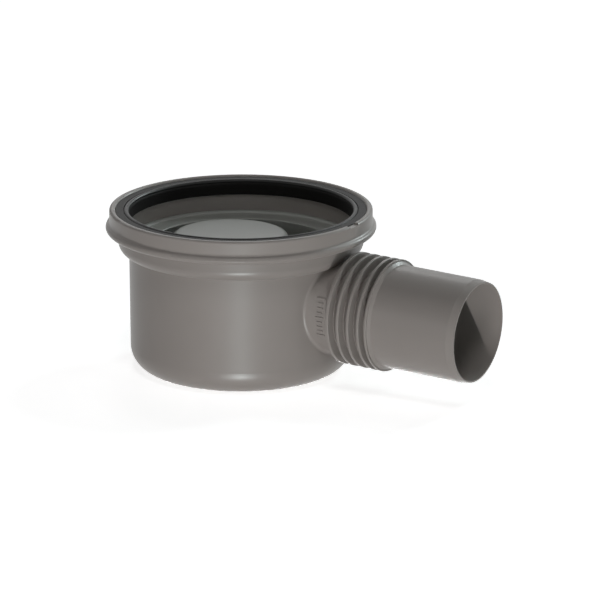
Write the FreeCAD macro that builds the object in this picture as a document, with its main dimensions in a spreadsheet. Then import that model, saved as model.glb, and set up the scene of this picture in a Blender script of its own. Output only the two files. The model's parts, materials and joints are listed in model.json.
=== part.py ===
import FreeCAD, Part
import math
import os
import re
import Sketcher

# Floor drain body with a side outlet, a riser socket seal and a removable bell trap.
# Millimetres. The pot's axis is Z, its underside is Z = 0 and the outlet leaves towards +X.

SIZES = {
    "body_height": 80.1,
    "wall_thickness": 3.0,
    "socket_radius": 55.2,
    "socket_wall": 4.5,
    "socket_land": 9.5,
    "ledge_width": 3.7,
    "ledge_thickness": 1.8,
    "lip_width": 3.0,
    "lip_round": 1.1,
    "bead_depth": 9.1,
    "bead_reach": 1.8,
    "bead_radius": 1.9,
    "bead_fillet": 1.5,
    "pot_draft": 0.4,
    "bottom_round": 12.0,
    "notch_width": 7.4,
    "notch_depth": 1.0,
    "notch_round": 0.8,
    "spigot_radius": 25.0,
    "spigot_wall": 1.4,
    "spigot_length": 46.15,
    "outlet_fall": 1.8,
    "crown_wall": 1.4,
    "bore_narrowing": 3.6,
    "bore_cone_length": 14.0,
    "mouth_taper_length": 4.0,
    "mouth_taper_depth": 0.7,
    "collar_length": 8.9,
    "collar_round": 1.6,
    "rib_height": 2.3,
    "rib_pitch": 5.55,
    "rib_count": 4,
    "first_rib_width": 1.7,
    "rib_width": 1.3,
    "rib_slope": 0.35,
    "rib_round": 0.3,
    "groove_depth": 4.2,
    "groove_land": 0.3,
    "stop_groove_width": 2.9,
    "stop_width": 1.1,
    "stop_step": 1.3,
    "stop_slope_length": 1.3,
    "seal_recess": 0.7,
    "seal_flange_thickness": 1.3,
    "seal_flange_reach": 3.0,
    "seal_skirt_length": 6.1,
    "seal_skirt_thickness": 2.8,
    "seal_clearance": 0.1,
    "seal_bite": 0.8,
    "seal_lip_round": 2.3,
    "seal_groove_width": 0.4,
    "seal_groove_depth": 0.7,
    "gasket_thickness": 0.6,
    "trap_clearance": 0.4,
    "trap_wall": 1.6,
    "flange_thickness": 1.4,
    "flange_round": 0.6,
    "flange_cove": 1.6,
    "flange_rim_width": 0.4,
    "cup_gap": 5.5,
    "cup_clear_height": 17.4,
    "cup_round": 5.0,
    "trap_offset": 6.2,
    "standpipe_radius": 18.6,
    "weir_depth": 23.0,
    "bell_depth": 13.9,
    "bell_radius": 28.5,
    "bell_round": 3.0,
    "bell_draft": 0.6,
    "bell_foot_gap": 8.0,
    "bell_rib_thickness": 2.0,
    "bell_rib_length": 9.5,
    "bell_rib_overlap": 0.8,
    "bell_rib_count": 4,
}

FULL_TURN = 360.0
CUT_MARGIN = 1.0
TOUCH = 1e-3
EDGE_SAMPLES = 7

# Radii and heights that several pieces share, each worked out from the driving sizes.
SEAT_STEP_RADIUS = "(socket_radius + seal_skirt_thickness)"
SEAT_RADIUS = "(socket_radius + seal_skirt_thickness + seal_flange_reach)"
LIP_RADIUS = "(socket_radius + seal_skirt_thickness + seal_flange_reach + lip_width)"
SHOULDER_RADIUS = "(socket_radius + socket_wall)"
POT_RADIUS = "(socket_radius - ledge_width + wall_thickness)"
POT_INNER_RADIUS = "(socket_radius - ledge_width)"
SEAT_DEPTH = "(seal_recess + seal_flange_thickness)"
SKIRT_DEPTH = "(seal_recess + seal_flange_thickness + seal_skirt_length)"
FLANGE_TOP = f"(body_height - {SKIRT_DEPTH} - socket_land)"
FLANGE_UNDERSIDE = f"({FLANGE_TOP} - flange_thickness)"
LEDGE_HEIGHT = f"({FLANGE_UNDERSIDE} - gasket_thickness)"
SHOULDER_HEIGHT = f"({LEDGE_HEIGHT} - ledge_thickness)"
POT_FOOT_RADIUS = f"({POT_RADIUS} - ({SHOULDER_HEIGHT} - bottom_round) * tan(pot_draft))"
BORE_RADIUS = "(spigot_radius - spigot_wall)"
BORE_INNER_RADIUS = f"({BORE_RADIUS} - bore_narrowing)"
OUTLET_HEIGHT = (
    f"({LEDGE_HEIGHT} - crown_wall - {BORE_INNER_RADIUS} + socket_radius * tan(outlet_fall))"
)
RIBS_START = f"({POT_RADIUS} + collar_length)"
GROOVE_START = f"({RIBS_START} + first_rib_width)"
GROOVE_WIDTH = "(rib_pitch - rib_width)"
LAST_GROOVE = f"({GROOVE_START} + (rib_count - 1) * rib_pitch)"
STOP_START = f"({LAST_GROOVE} + stop_groove_width)"
STOP_END = f"({STOP_START} + stop_width)"
MOUTH = f"({STOP_END} + spigot_length)"
CREST_RADIUS = "(spigot_radius + rib_height)"
GROOVE_RADIUS = f"({CREST_RADIUS} - groove_depth)"
CUP_RADIUS = f"({POT_INNER_RADIUS} - cup_gap)"
CUP_INNER_RADIUS = f"({CUP_RADIUS} - trap_wall)"
CUP_UNDERSIDE = "(wall_thickness + cup_clear_height)"
CUP_FLOOR = f"({CUP_UNDERSIDE} + trap_wall)"
WEIR_HEIGHT = "(body_height - weir_depth)"
STANDPIPE_BORE = "(standpipe_radius - trap_wall)"
BELL_TOP = "(body_height - bell_depth)"
BELL_CEILING = f"({BELL_TOP} - trap_wall)"
BELL_FOOT = f"({CUP_FLOOR} + bell_foot_gap)"
BELL_FOOT_RADIUS = f"(bell_radius + ({BELL_TOP} - bell_round - {BELL_FOOT}) * tan(bell_draft))"

doc = FreeCAD.newDocument("floor_drain_body")
sheet = doc.addObject("Spreadsheet::Sheet", "Sizes")
for row, (alias, number) in enumerate(SIZES.items(), start=1):
    sheet.set(f"A{row}", alias)
    sheet.set(f"B{row}", str(number))
    sheet.setAlias(f"B{row}", alias)
doc.recompute()


def bound(text):
    """The formula with each size's name turned into a reference to its cell."""
    return re.sub(
        r"[a-z_]+",
        lambda word: f"Sizes.{word.group()}" if word.group() in SIZES else word.group(),
        text,
    )


def measure(text):
    """The formula's present value."""
    return float(sheet.evalExpression(bound(text)))


def new_body(label):
    body = doc.addObject("PartDesign::Body", label)
    body.Label = label
    return body


def new_sketch(body, name, role):
    """An empty sketch on one of the body's own origin planes."""
    sketch = body.newObject("Sketcher::SketchObject", name)
    plane = next(item for item in body.Origin.OriginFeatures if item.Role == role)
    sketch.AttachmentSupport = [(plane, "")]
    sketch.MapMode = "FlatFace"
    return sketch


def shift_sketch(sketch, axis_name, formula):
    """Moves a sketch within its plane by a formula."""
    sketch.setExpression(f"AttachmentOffset.Base.{axis_name}", bound(formula))


def turn_sketch(sketch, axis, formula):
    """Turns a sketch about one of its own axes by a formula in degrees."""
    sketch.AttachmentOffset = FreeCAD.Placement(
        sketch.AttachmentOffset.Base, FreeCAD.Rotation(axis, measure(formula))
    )
    sketch.setExpression("AttachmentOffset.Rotation.Angle", bound(formula))


def arc_between(start, end, radius, turn):
    """The minor arc from start to end: turn is 1 for anticlockwise and -1 for clockwise."""
    chord = end - start
    half = chord.Length / 2
    rise = math.sqrt(max(radius * radius - half * half, 0.0))
    normal = FreeCAD.Vector(-chord.y, chord.x, 0).normalize()
    centre = (start + end) * 0.5 + normal * (rise * turn)
    first, last = (start, end) if turn > 0 else (end, start)
    start_angle = math.atan2(first.y - centre.y, first.x - centre.x)
    end_angle = math.atan2(last.y - centre.y, last.x - centre.x)
    if end_angle < start_angle:
        end_angle += 2 * math.pi
    circle = Part.Circle(centre, FreeCAD.Vector(0, 0, 1), radius)
    return Part.ArcOfCircle(circle, start_angle, end_angle)


def draw_profile(sketch, steps):
    """Draws a closed outline whose corners and radii follow formulas.

    A step is (x, y) for a straight edge to that corner, or (x, y, radius, turn) for an arc to it.
    """
    corners = [FreeCAD.Vector(measure(step[0]), measure(step[1]), 0) for step in steps]
    tails = []
    heads = []
    for place, step in enumerate(steps):
        start = corners[place - 1]
        end = corners[place]
        if len(step) == 2:
            edge = sketch.addGeometry(Part.LineSegment(start, end))
            tails.append((edge, 1))
            heads.append((edge, 2))
            continue
        radius, turn = step[2:]
        edge = sketch.addGeometry(arc_between(start, end, measure(radius), turn))
        tails.append((edge, 1) if turn > 0 else (edge, 2))
        heads.append((edge, 2) if turn > 0 else (edge, 1))
        pin_value(sketch, f"radius_{place}", radius, "Radius", edge)
    for place, step in enumerate(steps):
        following = tails[(place + 1) % len(steps)]
        sketch.addConstraint(Sketcher.Constraint("Coincident", *heads[place], *following))
        pin_value(sketch, f"across_{place}", step[0], "DistanceX", -1, 1, *heads[place])
        pin_value(sketch, f"up_{place}", step[1], "DistanceY", -1, 1, *heads[place])


def pin_value(sketch, name, formula, kind, *where):
    """Adds one dimension to a sketch and ties it to its formula."""
    index = sketch.addConstraint(Sketcher.Constraint(kind, *where, measure(formula)))
    sketch.renameConstraint(index, name)
    sketch.setExpression(f"Constraints.{name}", bound(formula))


def spin(body, kind, name, sketch, axis_name):
    """Revolves a sketch a full turn about its own axis, adding to the body or cutting it."""
    doc.recompute()
    before = body.Shape.Volume if body.Tip and not body.Shape.isNull() else 0.0
    feature = body.newObject(f"PartDesign::{kind}", name)
    feature.Profile = sketch
    feature.ReferenceAxis = (sketch, [axis_name])
    feature.Angle = FULL_TURN
    doc.recompute()
    grew = body.Shape.Volume - before
    if (grew > 0) != (kind == "Revolution"):
        raise RuntimeError(f"{name} did not change the body as meant")
    return feature


def round_edges(body, name, formula, chosen):
    """Rounds those edges of the body that the test picks."""
    doc.recompute()
    base = body.Tip
    names = [f"Edge{n}" for n, edge in enumerate(base.Shape.Edges, start=1) if chosen(edge)]
    if not names:
        raise RuntimeError(f"{name} found no edge to round")
    fillet = body.newObject("PartDesign::Fillet", name)
    fillet.Base = (base, names)
    fillet.setExpression("Radius", bound(formula))
    doc.recompute()
    return fillet


def outlet_sketch(body, name):
    """A sketch in the outlet's mid plane, with its horizontal axis along the falling outlet."""
    sketch = new_sketch(body, name, "XZ_Plane")
    shift_sketch(sketch, "y", OUTLET_HEIGHT)
    turn_sketch(sketch, FreeCAD.Vector(0, 0, 1), "-outlet_fall")
    return sketch


def outlet_line():
    """The outlet's start on the pot's axis, with its falling direction."""
    fall = math.radians(measure("outlet_fall"))
    start = FreeCAD.Vector(0, 0, measure(OUTLET_HEIGHT))
    return start, FreeCAD.Vector(math.cos(fall), 0, -math.sin(fall))


def is_crest(edge):
    """Whether an edge is a circle at a rib's top that clears the shoulder by its own round."""
    if not isinstance(edge.Curve, Part.Circle):
        return False
    if abs(edge.Curve.Radius - measure(CREST_RADIUS)) > TOUCH:
        return False
    along = outlet_line()[1]
    upward = FreeCAD.Vector(-along.z, 0, along.x)
    top = edge.Curve.Center + upward * edge.Curve.Radius
    return top.x > measure(f"{SHOULDER_RADIUS} + rib_round")


def is_collar_root(edge):
    """Whether an edge is where the outlet's collar leaves the pot's wall, below the shoulder."""
    if isinstance(edge.Curve, (Part.Circle, Part.Line)):
        return False
    start, along = outlet_line()
    for point in edge.discretize(EDGE_SAMPLES):
        reach = (point - start).cross(along).Length
        if abs(reach - measure(GROOVE_RADIUS)) > TOUCH:
            return False
        if point.z > measure(SHOULDER_HEIGHT) + TOUCH:
            return False
    return True


def groove_steps(start, width):
    """The section of a groove between two ribs: a steep wall, a narrow land and a ramp."""
    above = f"({CREST_RADIUS} + {CUT_MARGIN})"
    return [
        (start, above),
        (start, CREST_RADIUS),
        (f"{start} + rib_slope", GROOVE_RADIUS),
        (f"{start} + rib_slope + groove_land", GROOVE_RADIUS),
        (f"{start} + {width}", CREST_RADIUS),
        (f"{start} + {width}", above),
    ]


def make_drain_body():
    """The pot with its rim, bead, shoulder and ribbed outlet, moulded in one piece."""
    body = new_body("drain_body")

    outside = new_sketch(body, "pot_outside", "XZ_Plane")
    shoulder_round = f"({SHOULDER_RADIUS} - {POT_RADIUS})"
    bead_radius_at_root = f"({LIP_RADIUS} + bead_reach - bead_radius)"
    bead_level = "(body_height - bead_depth)"
    turn_cosine = "(1 - bead_reach / (bead_radius + bead_fillet))"
    turn_sine = f"sqrt(1 - {turn_cosine} * {turn_cosine})"
    draw_profile(outside, [
        ("0", "0"),
        (f"{POT_FOOT_RADIUS} - bottom_round", "0"),
        (POT_FOOT_RADIUS, "bottom_round", "bottom_round", 1),
        (POT_RADIUS, SHOULDER_HEIGHT),
        (SHOULDER_RADIUS, f"{SHOULDER_HEIGHT} + {shoulder_round}", shoulder_round, 1),
        (SHOULDER_RADIUS, f"{bead_level} - bead_radius"),
        (bead_radius_at_root, f"{bead_level} - bead_radius"),
        (f"{LIP_RADIUS} + bead_reach", bead_level, "bead_radius", 1),
        (f"{bead_radius_at_root} + bead_radius * {turn_cosine}",
         f"{bead_level} + bead_radius * {turn_sine}", "bead_radius", 1),
        (LIP_RADIUS, f"{bead_level} + (bead_radius + bead_fillet) * {turn_sine}", "bead_fillet", -1),
        (LIP_RADIUS, "body_height - lip_round"),
        (f"{LIP_RADIUS} - lip_round", "body_height", "lip_round", 1),
        ("0", "body_height"),
    ])
    spin(body, "Revolution", "pot_solid", outside, "V_Axis")

    spigot = outlet_sketch(body, "spigot_outside")
    draw_profile(spigot, [
        ("0", "0"),
        (MOUTH, "0"),
        (MOUTH, "spigot_radius - mouth_taper_depth"),
        (f"{MOUTH} - mouth_taper_length", "spigot_radius"),
        (f"{STOP_END} + stop_slope_length", "spigot_radius"),
        (STOP_END, "spigot_radius + stop_step"),
        (STOP_END, CREST_RADIUS),
        (RIBS_START, CREST_RADIUS),
        (f"{RIBS_START} - rib_slope", GROOVE_RADIUS),
        ("0", GROOVE_RADIUS),
    ])
    spin(body, "Revolution", "spigot_solid", spigot, "H_Axis")

    rib_groove = outlet_sketch(body, "rib_groove_section")
    draw_profile(rib_groove, groove_steps(GROOVE_START, GROOVE_WIDTH))
    first_groove = spin(body, "Groove", "rib_groove", rib_groove, "H_Axis")
    grooves = body.newObject("PartDesign::LinearPattern", "rib_grooves")
    grooves.Originals = [first_groove]
    grooves.Direction = (rib_groove, ["H_Axis"])
    grooves.Mode = "Spacing"
    grooves.setExpression("Offset", bound("rib_pitch"))
    grooves.setExpression("Occurrences", bound("rib_count - 1"))
    body.Tip = grooves
    stop_groove = outlet_sketch(body, "stop_groove_section")
    draw_profile(stop_groove, groove_steps(LAST_GROOVE, "stop_groove_width"))
    spin(body, "Groove", "stop_groove", stop_groove, "H_Axis")

    inside = new_sketch(body, "pot_inside", "XZ_Plane")
    above = f"(body_height + {CUT_MARGIN})"
    inner_foot = f"({POT_FOOT_RADIUS} - wall_thickness)"
    inner_round = "(bottom_round - wall_thickness)"
    draw_profile(inside, [
        ("0", "wall_thickness"),
        (f"{inner_foot} - {inner_round}", "wall_thickness"),
        (inner_foot, "bottom_round", inner_round, 1),
        (POT_INNER_RADIUS, LEDGE_HEIGHT),
        ("socket_radius", LEDGE_HEIGHT),
        ("socket_radius", f"body_height - {SKIRT_DEPTH}"),
        (SEAT_STEP_RADIUS, f"body_height - {SKIRT_DEPTH}"),
        (SEAT_STEP_RADIUS, f"body_height - {SEAT_DEPTH}"),
        (SEAT_RADIUS, f"body_height - {SEAT_DEPTH}"),
        (SEAT_RADIUS, "body_height - lip_round"),
        (f"{SEAT_RADIUS} + lip_round", "body_height", "lip_round", -1),
        (f"{SEAT_RADIUS} + lip_round", above),
        ("0", above),
    ])
    spin(body, "Groove", "pot_hollow", inside, "V_Axis")

    bore = outlet_sketch(body, "outlet_bore_section")
    draw_profile(bore, [
        ("0", "0"),
        (f"{MOUTH} + {CUT_MARGIN}", "0"),
        (f"{MOUTH} + {CUT_MARGIN}", BORE_RADIUS),
        (f"{STOP_END} + bore_cone_length", BORE_RADIUS),
        (STOP_END, BORE_INNER_RADIUS),
        ("0", BORE_INNER_RADIUS),
    ])
    spin(body, "Groove", "outlet_bore", bore, "H_Axis")

    round_edges(body, "rib_rounds", "rib_round", is_crest)
    round_edges(body, "collar_fillet", "collar_round", is_collar_root)

    notch = new_sketch(body, "notch_outline", "YZ_Plane")
    half_notch = "(notch_width / 2)"
    draw_profile(notch, [
        (f"-{half_notch}", "body_height - notch_depth"),
        (half_notch, "body_height - notch_depth"),
        (half_notch, "body_height - notch_round"),
        (f"{half_notch} + notch_round", "body_height", "notch_round", -1),
        (f"{half_notch} + notch_round", above),
        (f"-{half_notch} - notch_round", above),
        (f"-{half_notch} - notch_round", "body_height"),
        (f"-{half_notch}", "body_height - notch_round", "notch_round", -1),
    ])
    doc.recompute()
    volume_before = body.Shape.Volume
    cut = body.newObject("PartDesign::Pocket", "lip_notch")
    cut.Profile = notch
    cut.Reversed = True
    cut.setExpression("Length", bound(f"{LIP_RADIUS} + {CUT_MARGIN}"))
    doc.recompute()
    if body.Shape.Volume >= volume_before:
        raise RuntimeError("lip_notch cut nothing")
    return body


def make_socket_seal():
    """The rubber ring in the rim: a flange, a thin groove and a rounded lip that grips the riser."""
    body = new_body("socket_seal")
    section = new_sketch(body, "seal_section", "XZ_Plane")
    top = "(body_height - seal_recess)"
    lip_radius = "(socket_radius - seal_bite)"
    lip_start = f"({lip_radius} + seal_lip_round)"
    draw_profile(section, [
        (f"{SEAT_RADIUS} - seal_clearance", f"body_height - {SEAT_DEPTH}"),
        (f"{SEAT_RADIUS} - seal_clearance", top),
        (f"{lip_start} + seal_groove_width", top),
        (f"{lip_start} + seal_groove_width", f"{top} - seal_groove_depth"),
        (lip_start, f"{top} - seal_groove_depth"),
        (lip_start, top),
        (lip_radius, f"{top} - seal_lip_round", "seal_lip_round", 1),
        (lip_radius, f"body_height - {SKIRT_DEPTH}"),
        (f"{SEAT_STEP_RADIUS} - seal_clearance", f"body_height - {SKIRT_DEPTH}"),
        (f"{SEAT_STEP_RADIUS} - seal_clearance", f"body_height - {SEAT_DEPTH}"),
    ])
    spin(body, "Revolution", "seal_ring", section, "V_Axis")
    return body


def make_trap_gasket():
    """The flat rubber washer that seals the trap's flange on the pot's ledge."""
    body = new_body("trap_gasket")
    section = new_sketch(body, "gasket_section", "XZ_Plane")
    inner = f"({POT_INNER_RADIUS} + trap_clearance)"
    outer = "(socket_radius - trap_clearance)"
    draw_profile(section, [
        (inner, LEDGE_HEIGHT),
        (outer, LEDGE_HEIGHT),
        (outer, FLANGE_UNDERSIDE),
        (inner, FLANGE_UNDERSIDE),
    ])
    spin(body, "Revolution", "gasket_ring", section, "V_Axis")
    return body


def make_trap_cup():
    """The lift-out trap cup: its flange hangs on the ledge and its floor carries a standpipe."""
    body = new_body("trap_cup")
    section = new_sketch(body, "cup_section", "XZ_Plane")
    flange_radius = "(socket_radius - trap_clearance)"
    cove_radius = f"({flange_radius} - flange_rim_width)"
    inner_round = "(cup_round - trap_wall)"
    draw_profile(section, [
        ("0", CUP_UNDERSIDE),
        (f"{CUP_RADIUS} - cup_round", CUP_UNDERSIDE),
        (CUP_RADIUS, f"{CUP_UNDERSIDE} + cup_round", "cup_round", 1),
        (CUP_RADIUS, FLANGE_UNDERSIDE),
        (flange_radius, FLANGE_UNDERSIDE),
        (flange_radius, f"{FLANGE_TOP} + flange_cove"),
        (cove_radius, f"{FLANGE_TOP} + flange_cove"),
        (f"{cove_radius} - flange_cove", FLANGE_TOP, "flange_cove", -1),
        (f"{CUP_INNER_RADIUS} + flange_round", FLANGE_TOP),
        (CUP_INNER_RADIUS, f"{FLANGE_TOP} - flange_round", "flange_round", 1),
        (CUP_INNER_RADIUS, f"{CUP_UNDERSIDE} + cup_round"),
        (f"{CUP_RADIUS} - cup_round", CUP_FLOOR, inner_round, -1),
        ("0", CUP_FLOOR),
    ])
    spin(body, "Revolution", "cup_shell", section, "V_Axis")

    tube = new_sketch(body, "standpipe_section", "XZ_Plane")
    shift_sketch(tube, "x", "-trap_offset")
    draw_profile(tube, [
        (STANDPIPE_BORE, CUP_UNDERSIDE),
        ("standpipe_radius", CUP_UNDERSIDE),
        ("standpipe_radius", WEIR_HEIGHT),
        (STANDPIPE_BORE, WEIR_HEIGHT),
    ])
    spin(body, "Revolution", "standpipe", tube, "V_Axis")

    hole = new_sketch(body, "standpipe_hole_section", "XZ_Plane")
    shift_sketch(hole, "x", "-trap_offset")
    draw_profile(hole, [
        ("0", f"{CUP_UNDERSIDE} - {CUT_MARGIN}"),
        (STANDPIPE_BORE, f"{CUP_UNDERSIDE} - {CUT_MARGIN}"),
        (STANDPIPE_BORE, f"{CUP_FLOOR} + {CUT_MARGIN}"),
        ("0", f"{CUP_FLOOR} + {CUT_MARGIN}"),
    ])
    spin(body, "Groove", "standpipe_hole", hole, "V_Axis")
    return body


def make_trap_bell():
    """The bell over the standpipe: a round-topped hood with ribs that rest on the standpipe."""
    body = new_body("trap_bell")
    section = new_sketch(body, "bell_section", "XZ_Plane")
    inner_radius = "(bell_radius - trap_wall)"
    inner_round = "(bell_round - trap_wall)"
    draw_profile(section, [
        ("0", BELL_CEILING),
        (f"{inner_radius} - {inner_round}", BELL_CEILING),
        (inner_radius, f"{BELL_CEILING} - {inner_round}", inner_round, -1),
        (f"{BELL_FOOT_RADIUS} - trap_wall", BELL_FOOT),
        (BELL_FOOT_RADIUS, BELL_FOOT),
        ("bell_radius", f"{BELL_TOP} - bell_round"),
        ("bell_radius - bell_round", BELL_TOP, "bell_round", 1),
        ("0", BELL_TOP),
    ])
    spin(body, "Revolution", "bell_hood", section, "V_Axis")

    rib = new_sketch(body, "bell_rib_outline", "XZ_Plane")
    turn_sketch(rib, FreeCAD.Vector(0, 1, 0), "180 / bell_rib_count")
    seat_edge = f"({STANDPIPE_BORE} - trap_wall / 2)"
    guide_edge = "(standpipe_radius + trap_clearance)"
    rib_foot = f"({WEIR_HEIGHT} - bell_rib_length)"
    draw_profile(rib, [
        (seat_edge, WEIR_HEIGHT),
        (guide_edge, WEIR_HEIGHT),
        (guide_edge, rib_foot),
        (f"{inner_radius} + bell_rib_overlap", rib_foot),
        (f"{inner_radius} + bell_rib_overlap", f"{BELL_CEILING} - {inner_round}"),
        (f"{inner_radius} - {inner_round}", f"{BELL_CEILING} + bell_rib_overlap"),
        (seat_edge, f"{BELL_CEILING} + bell_rib_overlap"),
    ])
    doc.recompute()
    pad = body.newObject("PartDesign::Pad", "bell_rib")
    pad.Profile = rib
    pad.Midplane = True
    pad.setExpression("Length", bound("bell_rib_thickness"))
    doc.recompute()
    ribs = body.newObject("PartDesign::PolarPattern", "bell_ribs")
    ribs.Originals = [pad]
    ribs.Axis = (next(item for item in body.Origin.OriginFeatures if item.Role == "Z_Axis"), [""])
    ribs.Angle = FULL_TURN
    ribs.setExpression("Occurrences", bound("bell_rib_count"))
    body.Tip = ribs
    body.setExpression("Placement.Base.x", bound("-trap_offset"))
    return body


pieces = [
    make_drain_body(),
    make_socket_seal(),
    make_trap_gasket(),
    make_trap_cup(),
    make_trap_bell(),
]
doc.recompute()

for item in doc.Objects:
    if "Invalid" in item.State or "Error" in item.State:
        raise RuntimeError(f"{item.Label} failed: {item.State}")
for piece in pieces:
    if piece.Shape.isNull() or not piece.Shape.isValid() or len(piece.Shape.Solids) != 1:
        raise RuntimeError(f"{piece.Label} is not one sound solid")

os.makedirs("parts", exist_ok=True)
for piece in pieces:
    piece.Shape.exportStep(f"parts/{piece.Label}.step")
    box = piece.Shape.BoundBox
    print(piece.Label, round(piece.Shape.Volume), [round(side, 2) for side in (
        box.XMin, box.YMin, box.ZMin, box.XMax, box.YMax, box.ZMax)])
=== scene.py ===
# %% [markdown]
# # A floor drain body, dressed in Blender
#
# The object is a moulded plastic floor drain: a round pot with a rubber-sealed socket on top, a
# lift-out bell trap inside and a ribbed outlet at the side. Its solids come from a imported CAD
# model, at their real size in metres, with the pot's axis on Z and the outlet towards +X.
# The solids could be modelled again here, but they are right already, so this lesson keeps them
# and adds what they lack: finishes, the seal's bead, small moulded marks, a studio and a camera.

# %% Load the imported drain
import json
import math

import bpy
from mathutils import Matrix, Vector


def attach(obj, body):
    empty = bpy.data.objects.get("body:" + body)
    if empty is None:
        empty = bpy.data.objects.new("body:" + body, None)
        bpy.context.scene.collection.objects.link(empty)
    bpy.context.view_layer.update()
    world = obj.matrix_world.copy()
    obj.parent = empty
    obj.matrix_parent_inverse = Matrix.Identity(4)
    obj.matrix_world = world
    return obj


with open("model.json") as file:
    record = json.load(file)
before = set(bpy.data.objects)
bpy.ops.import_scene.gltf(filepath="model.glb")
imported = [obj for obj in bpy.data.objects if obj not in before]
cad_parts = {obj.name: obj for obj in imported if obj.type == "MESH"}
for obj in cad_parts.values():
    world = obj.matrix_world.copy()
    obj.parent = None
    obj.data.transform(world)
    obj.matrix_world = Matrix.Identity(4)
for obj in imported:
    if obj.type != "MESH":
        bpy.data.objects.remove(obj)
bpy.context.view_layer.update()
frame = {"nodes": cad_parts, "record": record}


def rounded(point):
    """A point in metres, to a tenth of a millimetre, for printing."""
    return [round(value, 4) for value in point]


for starter in ("Cube", "Light", "Camera"):
    if starter in bpy.data.objects:
        bpy.data.objects.remove(bpy.data.objects[starter])

# %% [markdown]
# ## The camera
#
# A product picture of this kind is taken from far away with a long lens, so that the round rim
# stays a calm ellipse. The camera could be placed by eye, but six plain numbers say the same
# thing exactly: two angles and a distance for where it stands, and a height, a step right and a
# step up for the point that it aims at. Azimuth 0 looks along +Y. The lens and the sensor are in
# millimetres, as cameras give them.

# %% Place the camera
MM = 0.001
VIEW_AZIMUTH = math.radians(30.8)
VIEW_ELEVATION = math.radians(16.13)
VIEW_DISTANCE = 2438.0 * MM
AIM_HEIGHT = 40.0 * MM
AIM_RIGHT = 28.63 * MM
AIM_UP = -6.53 * MM
LENS = 300.0
SENSOR = 36.0
CAMERA_REACH = 20.0


def direction(azimuth, elevation):
    """The unit vector from the object towards a viewer or lamp at these angles."""
    return Vector((
        math.sin(azimuth) * math.cos(elevation),
        -math.cos(azimuth) * math.cos(elevation),
        math.sin(elevation),
    ))


to_camera = direction(VIEW_AZIMUTH, VIEW_ELEVATION)
right = Vector((math.cos(VIEW_AZIMUTH), math.sin(VIEW_AZIMUTH), 0.0))
up = to_camera.cross(right)
aim = Vector((0.0, 0.0, AIM_HEIGHT)) + right * AIM_RIGHT + up * AIM_UP

lens = bpy.data.cameras.new("studio_camera")
lens.lens = LENS
lens.sensor_width = SENSOR
lens.clip_end = CAMERA_REACH
camera = bpy.data.objects.new("studio_camera", lens)
bpy.context.collection.objects.link(camera)
camera.matrix_world = Matrix((
    (right.x, up.x, to_camera.x, 0.0),
    (right.y, up.y, to_camera.y, 0.0),
    (right.z, up.z, to_camera.z, 0.0),
    (0.0, 0.0, 0.0, 1.0),
))
camera.location = aim + to_camera * VIEW_DISTANCE
bpy.context.scene.camera = camera
bpy.context.scene.view_settings.view_transform = "Standard"
print("camera at", rounded(camera.location))

# %% [markdown]
# ## The white room
#
# A white backdrop could be reached by flooding the scene with light, but that would wash out the
# plastic. Instead the room is white only to the camera and to reflections, and nearly dark for
# the light that falls on the object, which the lamps give instead.

# %% Make the white room
ROOM_LIGHT = 0.02
BACKDROP_STRENGTH = 1.0
WHITE = (1.0, 1.0, 1.0, 1.0)


def seen_directly(tree):
    """1 for rays from the camera, a reflection or a glass, and 0 for light on surfaces."""
    path = tree.nodes.new("ShaderNodeLightPath")
    largest = path.outputs["Is Camera Ray"]
    for other in ("Is Glossy Ray", "Is Transmission Ray"):
        pick = tree.nodes.new("ShaderNodeMath")
        pick.operation = "MAXIMUM"
        tree.links.new(largest, pick.inputs[0])
        tree.links.new(path.outputs[other], pick.inputs[1])
        largest = pick.outputs[0]
    return largest


def mixed(tree, factor, first, second):
    """A mix of two shaders: the first where the factor is 0, the second where it is 1."""
    mix = tree.nodes.new("ShaderNodeMixShader")
    tree.links.new(factor, mix.inputs["Fac"])
    tree.links.new(first.outputs[0], mix.inputs[1])
    tree.links.new(second.outputs[0], mix.inputs[2])
    return mix


world = bpy.data.worlds.new("white_room")
bpy.context.scene.world = world
world.use_nodes = True
tree = world.node_tree
tree.nodes.clear()
lighting = tree.nodes.new("ShaderNodeBackground")
lighting.inputs["Color"].default_value = WHITE
lighting.inputs["Strength"].default_value = ROOM_LIGHT
backdrop = tree.nodes.new("ShaderNodeBackground")
backdrop.inputs["Color"].default_value = WHITE
backdrop.inputs["Strength"].default_value = BACKDROP_STRENGTH
room = mixed(tree, seen_directly(tree), lighting, backdrop)
output = tree.nodes.new("ShaderNodeOutputWorld")
tree.links.new(room.outputs[0], output.inputs["Surface"])
print("room light", ROOM_LIGHT)

# %% [markdown]
# ## The table
#
# The drain stands on a white shooting table. A table of this kind lets light through, so a lamp
# can shine up from below it, and its white top fades into the white room behind. It could be a
# thick sheet of milky glass, but a plane that casts no shadow does the same with less to go
# wrong. It lies a hair below the drain, and from below it is clear, so that the underside can be
# looked at too.

# %% Lay the table top
TABLE_SIZE = 8.0
TABLE_GAP = 0.1 * MM

bpy.ops.object.select_all(action="DESELECT")
bpy.ops.mesh.primitive_plane_add(size=TABLE_SIZE, location=(0.0, 0.0, -TABLE_GAP))
table = bpy.context.object
table.name = "table_top"
table.visible_shadow = False
print("table", TABLE_SIZE, "m wide")

# %% Make the table white
TABLE_BOUNCE = (0.42, 0.42, 0.42, 1.0)
TABLE_WHITE = (0.80, 0.80, 0.80, 1.0)
TABLE_GLOW = 0.77

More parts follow.
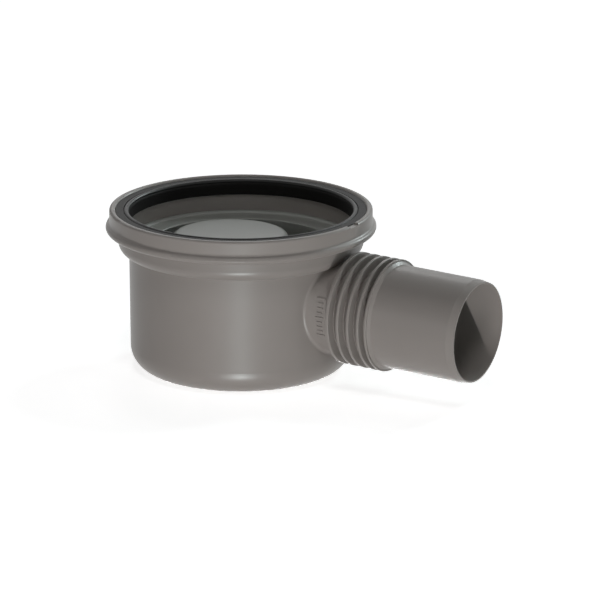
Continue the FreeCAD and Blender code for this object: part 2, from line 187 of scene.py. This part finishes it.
table_finish = bpy.data.materials.new("table_white")
table_finish.use_nodes = True
tree = table_finish.node_tree
tree.nodes.clear()
bounce = tree.nodes.new("ShaderNodeBsdfDiffuse")
bounce.inputs["Color"].default_value = TABLE_BOUNCE
shaded = tree.nodes.new("ShaderNodeBsdfDiffuse")
shaded.inputs["Color"].default_value = TABLE_WHITE
glow = tree.nodes.new("ShaderNodeEmission")
glow.inputs["Strength"].default_value = TABLE_GLOW
white = tree.nodes.new("ShaderNodeAddShader")
tree.links.new(shaded.outputs[0], white.inputs[0])
tree.links.new(glow.outputs[0], white.inputs[1])
top = mixed(tree, seen_directly(tree), bounce, white)
from_below = tree.nodes.new("ShaderNodeNewGeometry").outputs["Backfacing"]
clear = tree.nodes.new("ShaderNodeBsdfTransparent")
one_way = mixed(tree, from_below, top, clear)
output = tree.nodes.new("ShaderNodeOutputMaterial")
tree.links.new(one_way.outputs[0], output.inputs["Surface"])
table.data.materials.append(table_finish)
print("table glow", TABLE_GLOW)

# %% [markdown]
# ## The lamps
#
# A studio lights plastic with one clear key and many soft panels. The key shines up through the
# table from under the camera and draws the slanted shadow in the outlet. Panels to the left and
# right lift the flanks, panels above light the trap and the rim, and a second key behind does for
# the back what the first does here. Two sheen lamps are seen only as reflections: one gives the
# stripe on the pot, the other the bright line on the rim. Each could be an area light, but a sun
# lamp needs only a direction, a strength and a softness, so nothing depends on its distance.

# %% Make a lamp
NEUTRAL = (1.0, 1.0, 1.0)
PANEL_SOFTNESS = 14.0


def add_lamp(name, azimuth, elevation, strength, softness=PANEL_SOFTNESS, colour=NEUTRAL,
             reflections_only=False):
    """A sun lamp that shines from these angles; they and the softness are in degrees."""
    lamp = bpy.data.lights.new(name, "SUN")
    lamp.energy = strength
    lamp.angle = math.radians(softness)
    lamp.color = colour
    holder = bpy.data.objects.new(name, lamp)
    bpy.context.collection.objects.link(holder)
    towards = direction(math.radians(azimuth), math.radians(elevation))
    holder.rotation_euler = towards.to_track_quat("Z", "Y").to_euler()
    holder.visible_diffuse = not reflections_only
    return holder


print("panels are", PANEL_SOFTNESS, "degrees wide")

# %% Hang the lamps
COOL = (0.90, 1.02, 1.02)
WARM = (1.06, 0.98, 0.97)

lamps = [
    add_lamp("key", azimuth=29.0, elevation=-36.0, strength=1.54, softness=1.0),
    add_lamp("key_sheen", azimuth=31.0, elevation=-32.0, strength=2.60, softness=6.0, colour=COOL,
             reflections_only=True),
    add_lamp("rim_sheen", azimuth=160.0, elevation=22.0, strength=1.70, colour=COOL,
             reflections_only=True),
    add_lamp("panel_left", azimuth=338.0, elevation=15.0, strength=0.20),
    add_lamp("panel_left_low", azimuth=8.0, elevation=-10.0, strength=0.33, colour=WARM),
    add_lamp("panel_right", azimuth=60.0, elevation=5.0, strength=0.20, colour=COOL),
    add_lamp("panel_right_low", azimuth=60.0, elevation=-20.0, strength=0.20, colour=WARM),
    add_lamp("panel_side", azimuth=90.0, elevation=15.0, strength=0.15),
    add_lamp("panel_side_back", azimuth=125.0, elevation=8.0, strength=0.22, colour=COOL),
    add_lamp("panel_above", azimuth=31.0, elevation=58.0, strength=0.51),
    add_lamp("panel_rim", azimuth=165.0, elevation=45.0, strength=0.52, colour=COOL),
    add_lamp("panel_back_high", azimuth=210.0, elevation=60.0, strength=0.15),
    add_lamp("panel_back", azimuth=210.0, elevation=30.0, strength=0.14),
    add_lamp("key_back", azimuth=211.0, elevation=-34.0, strength=1.30, softness=10.0),
]
print("lamps", [lamp.name for lamp in lamps])

# %% [markdown]
# ## The plastic and the rubber
#
# The pot is taken to be grey polypropylene from a spark-eroded mould: a fine even grain, a satin
# sheen, and a slow drift in tone where the melt flowed. A flat grey would look like clay, so
# three noises work on it, each at the size that the real marks have. A slow one drifts the
# colour, a fine one gives both the uneven sheen and the grain, and one between them makes the
# faint waves of a moulded wall. They read object coordinates, which are metres here, so a scale
# of 1000 is one cell a millimetre.

# %% Noise and bump
NOISE_LOW = 0.25
NOISE_HIGH = 0.75


def noise(tree, place, scale, detail):
    """A noise texture on the object's own coordinates."""
    texture = tree.nodes.new("ShaderNodeTexNoise")
    texture.inputs["Scale"].default_value = scale
    texture.inputs["Detail"].default_value = detail
    tree.links.new(place, texture.inputs["Vector"])
    return texture.outputs["Fac"]


def spread(tree, value, low, high):
    """The noise's middle half, mapped onto a range from low to high."""
    ranged = tree.nodes.new("ShaderNodeMapRange")
    ranged.inputs["From Min"].default_value = NOISE_LOW
    ranged.inputs["From Max"].default_value = NOISE_HIGH
    ranged.inputs["To Min"].default_value = low
    ranged.inputs["To Max"].default_value = high
    tree.links.new(value, ranged.inputs["Value"])
    return ranged.outputs["Result"]


def bump(tree, height, strength, distance, under=None):
    """A bump layer, on top of another one where there is one."""
    layer = tree.nodes.new("ShaderNodeBump")
    layer.inputs["Strength"].default_value = strength
    layer.inputs["Distance"].default_value = distance
    tree.links.new(height, layer.inputs["Height"])
    if under:
        tree.links.new(under, layer.inputs["Normal"])
    return layer.outputs["Normal"]


print("noise used from", NOISE_LOW, "to", NOISE_HIGH)

# %% A moulded finish that the parts share
FLOW_PER_METRE = 26.0
FLOW_DETAIL = 3.0
GRAIN_PER_METRE = 2600.0
GRAIN_DETAIL = 2.0
GRAIN_HEIGHT = 0.05 * MM
SHEEN_SPREAD = 0.03
WAVE_PER_METRE = 60.0
WAVE_DETAIL = 1.0
WAVE_STRENGTH = 0.02
WAVE_HEIGHT = 1.0 * MM
OPAQUE = 1.0


def moulded_finish(name, dark, light, roughness, grain_depth, specular):
    """A moulded surface: tone that drifts with the melt, an uneven sheen and a fine grain."""
    finish = bpy.data.materials.new(name)
    finish.use_nodes = True
    tree = finish.node_tree
    shader = tree.nodes["Principled BSDF"]
    place = tree.nodes.new("ShaderNodeTexCoord").outputs["Object"]

    flow = noise(tree, place, FLOW_PER_METRE, FLOW_DETAIL)
    tone = tree.nodes.new("ShaderNodeMix")
    tone.data_type = "RGBA"
    tone.inputs["A"].default_value = (*dark, OPAQUE)
    tone.inputs["B"].default_value = (*light, OPAQUE)
    tree.links.new(spread(tree, flow, 0.0, 1.0), tone.inputs["Factor"])
    tree.links.new(tone.outputs["Result"], shader.inputs["Base Color"])

    grain = noise(tree, place, GRAIN_PER_METRE, GRAIN_DETAIL)
    sheen = spread(tree, grain, roughness - SHEEN_SPREAD, roughness + SHEEN_SPREAD)
    tree.links.new(sheen, shader.inputs["Roughness"])

    wave = noise(tree, place, WAVE_PER_METRE, WAVE_DETAIL)
    waved = bump(tree, wave, WAVE_STRENGTH, WAVE_HEIGHT)
    grained = bump(tree, grain, grain_depth, GRAIN_HEIGHT, under=waved)
    tree.links.new(grained, shader.inputs["Normal"])
    shader.inputs["Specular IOR Level"].default_value = specular
    return finish


print("grain", GRAIN_PER_METRE, "cells a metre")

# %% Dress the parts
RUBBER_DARK = (0.0030, 0.0028, 0.0025)
RUBBER_LIGHT = (0.0042, 0.0039, 0.0036)

finishes = {
    "body_plastic": moulded_finish(
        "body_plastic", dark=(0.253, 0.233, 0.218), light=(0.273, 0.251, 0.235),
        roughness=0.36, grain_depth=0.25, specular=0.18),
    "trap_plastic": moulded_finish(
        "trap_plastic", dark=(0.262, 0.267, 0.250), light=(0.282, 0.287, 0.268),
        roughness=0.38, grain_depth=0.25, specular=0.25),
    "seal_rubber": moulded_finish(
        "seal_rubber", dark=RUBBER_DARK, light=RUBBER_LIGHT,
        roughness=0.50, grain_depth=0.35, specular=0.08),
}
for part in frame["record"]["subparts"]:
    node = frame["nodes"][part["node"]]
    node.data.materials.clear()
    node.data.materials.append(finishes[part["material_slot"]])
    print(part["node"], "wears", part["material_slot"])

# %% [markdown]
# ## The bead of the rubber ring
#
# Along its inner edge the rubber ring swells into a round bead, the part that a riser squeezes
# first. It stands a little proud of the flat flange and leaves a thin dark line beside it. The
# bead could be cut into the ring's own section, but a torus sunk into the ring is round all the
# way over, and it leaves the solid as it is. It shines a little more than the flange, so it gets
# a finish of its own.

# %% Lay the bead on the ring
BEAD_RADIUS = 55.7 * MM
BEAD_ROUND = 1.2 * MM
BEAD_TOP = 79.75 * MM
BEAD_STEPS_AROUND = 240
BEAD_STEPS_ACROSS = 28

bpy.ops.object.select_all(action="DESELECT")
bpy.ops.mesh.primitive_torus_add(
    major_radius=BEAD_RADIUS, minor_radius=BEAD_ROUND,
    major_segments=BEAD_STEPS_AROUND, minor_segments=BEAD_STEPS_ACROSS,
    location=(0.0, 0.0, BEAD_TOP - BEAD_ROUND))
seal_bead = bpy.context.object
seal_bead.name = "seal_bead"
bpy.ops.object.transform_apply(location=True, rotation=True, scale=True)
bpy.ops.object.shade_smooth()
seal_bead.data.materials.clear()
seal_bead.data.materials.append(moulded_finish(
    "bead_rubber", dark=RUBBER_DARK, light=RUBBER_LIGHT,
    roughness=0.40, grain_depth=0.25, specular=0.16))
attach(seal_bead, "root")
print("seal bead", len(seal_bead.data.polygons), "faces")

# %% [markdown]
# ## The marks on the collar
#
# Between the pot and its first rib the collar carries small raised marks, moulded with it: here a
# plain scale of strokes, by which a fitter can see how far the drain is turned. They could be a
# texture, but a raised mark has an edge that catches light, so each is a little bar. One bar is
# made from a cube with its upper edges bevelled, and then copied around the outlet.

# %% Find the outlet's line
outlet = next(mount for mount in frame["record"]["mounts"] if mount["name"] == "outlet_spigot")
outlet_along = Vector(outlet["axis"]).normalized()
outlet_middle = Vector(outlet["pos_m"])
outlet_start = outlet_middle - outlet_along * (outlet_middle.x / outlet_along.x)
print("outlet starts at", rounded(outlet_start))

# %% Model one stroke
STROKE_LENGTH = 3.0 * MM
STROKE_WIDTH = 0.8 * MM
STROKE_HEIGHT = 0.35 * MM
STROKE_SINK = 0.15 * MM
STROKE_ROUND = 0.12 * MM
STROKE_ROUND_STEPS = 3
SMOOTH_UP_TO = math.radians(40.0)

bpy.ops.object.select_all(action="DESELECT")
bpy.ops.mesh.primitive_cube_add(size=1.0, location=(0.0, 0.0, 0.0))
stroke = bpy.context.object
stroke.name = "collar_stroke"
stroke.scale = (STROKE_LENGTH, STROKE_WIDTH, STROKE_HEIGHT + STROKE_SINK)
stroke.location.z = (STROKE_HEIGHT - STROKE_SINK) / 2
bpy.ops.object.transform_apply(location=True, rotation=True, scale=True)
for edge in stroke.data.edges:
    heights = [stroke.data.vertices[corner].co.z for corner in edge.vertices]
    edge.select = max(heights) > 0.0
bpy.ops.object.mode_set(mode="EDIT")
bpy.ops.mesh.select_mode(type="EDGE")
bpy.ops.mesh.bevel(offset=STROKE_ROUND, segments=STROKE_ROUND_STEPS, affect="EDGES")
bpy.ops.object.mode_set(mode="OBJECT")
bpy.ops.object.shade_smooth_by_angle(angle=SMOOTH_UP_TO)
print("one stroke", len(stroke.data.polygons), "faces")

# %% Copy the strokes around the collar
COLLAR_RADIUS = 23.1 * MM
STROKE_COUNT = 9
STROKE_STEP = math.radians(5.8)
STROKE_MIDDLE = math.radians(1.0)
STROKE_PLACE = 57.8 * MM
LONG_STRETCH = 1.5
LONG_EVERY = 4

outward_side = Vector((0.0, -1.0, 0.0))
upward = outlet_along.cross(outward_side)
strokes = []
for count in range(STROKE_COUNT):
    bpy.ops.object.select_all(action="DESELECT")
    stroke.select_set(True)
    bpy.context.view_layer.objects.active = stroke
    bpy.ops.object.duplicate(linked=False)
    copy = bpy.context.object
    from_middle = count - STROKE_COUNT // 2
    stretch = LONG_STRETCH if from_middle % LONG_EVERY == 0 else 1.0
    turn = STROKE_MIDDLE + from_middle * STROKE_STEP
    outward = outward_side * math.cos(turn) + upward * math.sin(turn)
    across = outward.cross(outlet_along)
    foot = outlet_start + outlet_along * STROKE_PLACE + outward * COLLAR_RADIUS
    copy.data.transform(Matrix((
        (outlet_along.x * stretch, across.x, outward.x, foot.x),
        (outlet_along.y * stretch, across.y, outward.y, foot.y),
        (outlet_along.z * stretch, across.z, outward.z, foot.z),
        (0.0, 0.0, 0.0, 1.0),
    )))
    strokes.append(copy)
bpy.data.objects.remove(stroke)
print("strokes", len(strokes))

# %% Join the strokes into one scale
bpy.ops.object.select_all(action="DESELECT")
for copy in strokes:
    copy.select_set(True)
bpy.context.view_layer.objects.active = strokes[0]
bpy.ops.object.join()
collar_scale = bpy.context.object
collar_scale.name = "collar_scale"
collar_scale.data.materials.clear()
collar_scale.data.materials.append(finishes["body_plastic"])
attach(collar_scale, "root")
print("collar scale", len(collar_scale.data.polygons), "faces")
